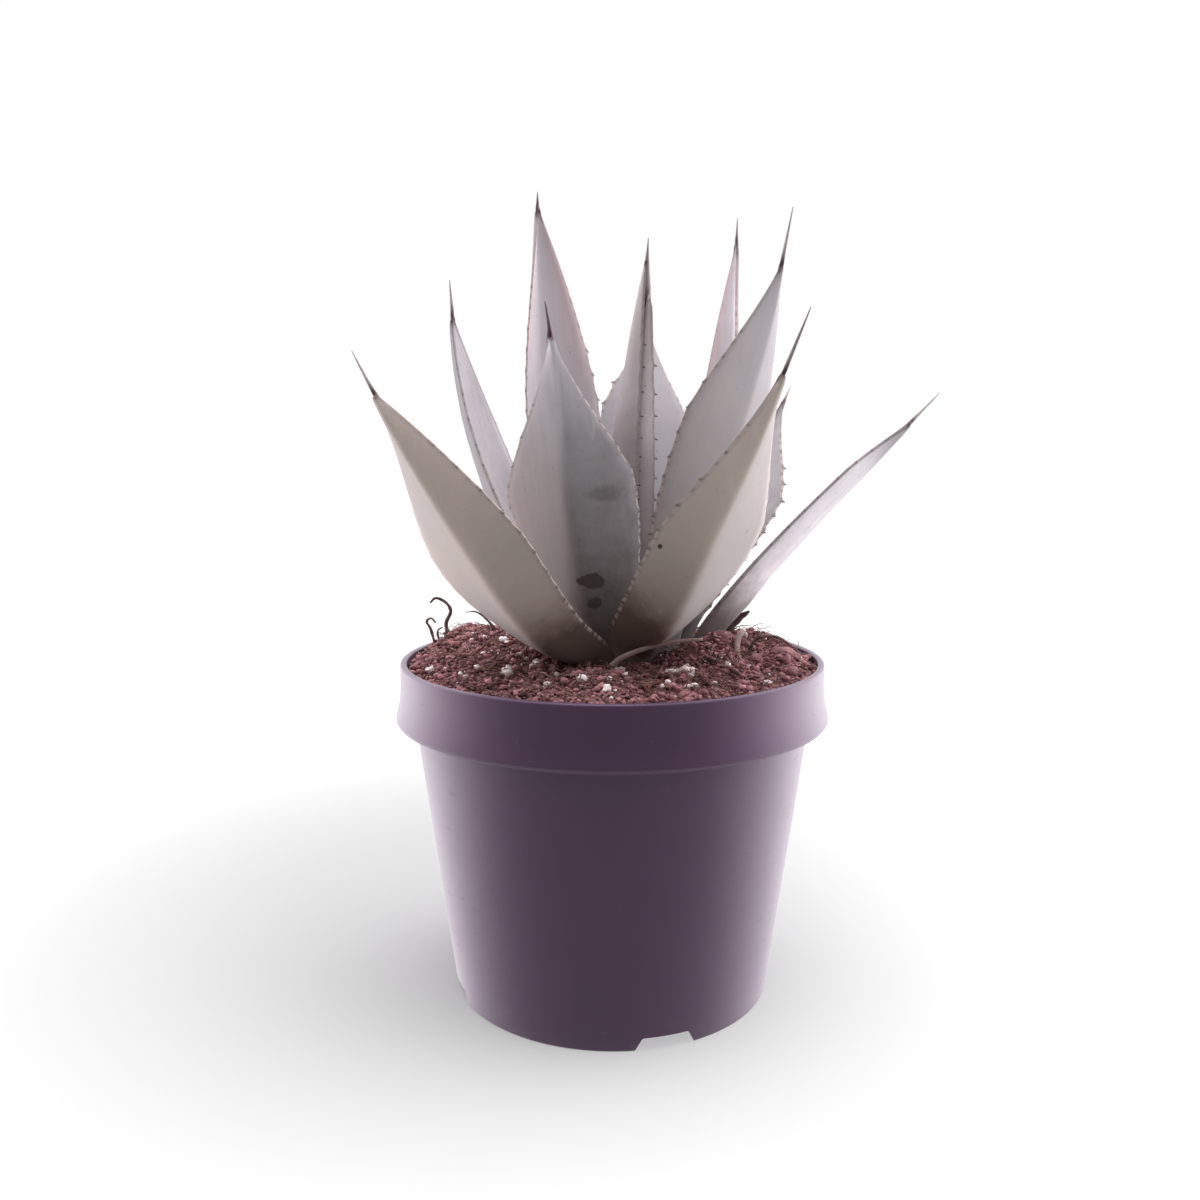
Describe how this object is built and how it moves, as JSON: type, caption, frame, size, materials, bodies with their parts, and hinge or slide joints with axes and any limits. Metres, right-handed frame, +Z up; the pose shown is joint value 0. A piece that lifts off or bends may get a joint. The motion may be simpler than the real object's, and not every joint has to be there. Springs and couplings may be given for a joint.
{
  "type": "potted agave",
  "caption": "Young agave with an open rosette of broad, spine-tipped, toothed leaves round a furled bud, in soil in a tapered round nursery pot with a wide collar.",
  "frame": {"origin": "the pot's axis on the plane that the pot stands on, at the middle of the flat centre foot under its floor", "axes": "+Z up along the pot's axis; -Y towards the front of the plant as pictured; +X to the right as seen from the front"},
  "size_m": [0.1883, 0.165, 0.2684],
  "materials": {
    "pot": "satin moulded polypropylene",
    "soil": "damp fibrous peat with perlite",
    "stem": "rough pith and old leaf bases",
    "leaf": "waxy matt bloom over firm flesh"
  },
  "bodies": {
    "root": {"pot": "pot", "soil": "soil", "stem": "stem", "leaf_front_left": "leaf", "leaf_front": "leaf", "leaf_front_right": "leaf", "leaf_right_inner": "leaf", "leaf_right": "leaf", "leaf_right_back": "leaf", "leaf_back_right": "leaf", "leaf_back": "leaf", "leaf_back_low": "leaf", "leaf_back_left": "leaf", "leaf_left": "leaf", "bud_outer": "leaf", "bud_middle": "leaf", "bud_core": "leaf"}
  },
  "joints": []
}
